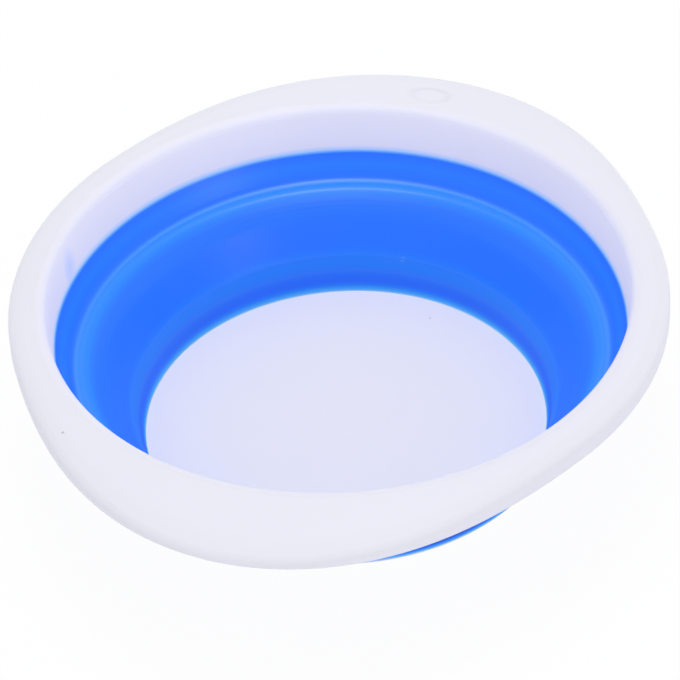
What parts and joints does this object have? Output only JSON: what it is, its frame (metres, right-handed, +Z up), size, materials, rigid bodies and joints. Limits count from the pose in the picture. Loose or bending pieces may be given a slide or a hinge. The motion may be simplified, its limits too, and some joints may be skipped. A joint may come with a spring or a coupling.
{
  "type": "collapsible camp washbasin",
  "caption": "Collapsible washbasin: rigid white rim with carrying ears and rigid floor, joined by a soft blue wall that folds so that the rim drops down around the floor.",
  "frame": {"origin": "on the ground under the centre of the floor", "axes": "+Z up along the axis on which the basin folds, +X towards the carrying ear with the oval mark, Y across the ears"},
  "size_m": [0.3682, 0.3212, 0.0894],
  "materials": {
    "white_plastic": "smooth satin, faintly bluish white",
    "blue_soft_wall": "satin soft plastic, glowing paler where it is thin or bends",
    "white_floor_plastic": "smooth satin, faintly bluish white"
  },
  "bodies": {
    "base": {"floor_plate": "white_floor_plastic", "lower_band": "blue_soft_wall", "folding_panel": "blue_soft_wall"},
    "rim": {"rim": "white_plastic", "upper_band": "blue_soft_wall", "step_ring": "blue_soft_wall"}
  },
  "joints": [
    {"name": "rim_fold", "type": "slide", "parent": "base", "child": "rim", "axis": [0, 0, 1], "range_m": [-0.046, 0], "deforming": ["folding_panel"]}
  ]
}
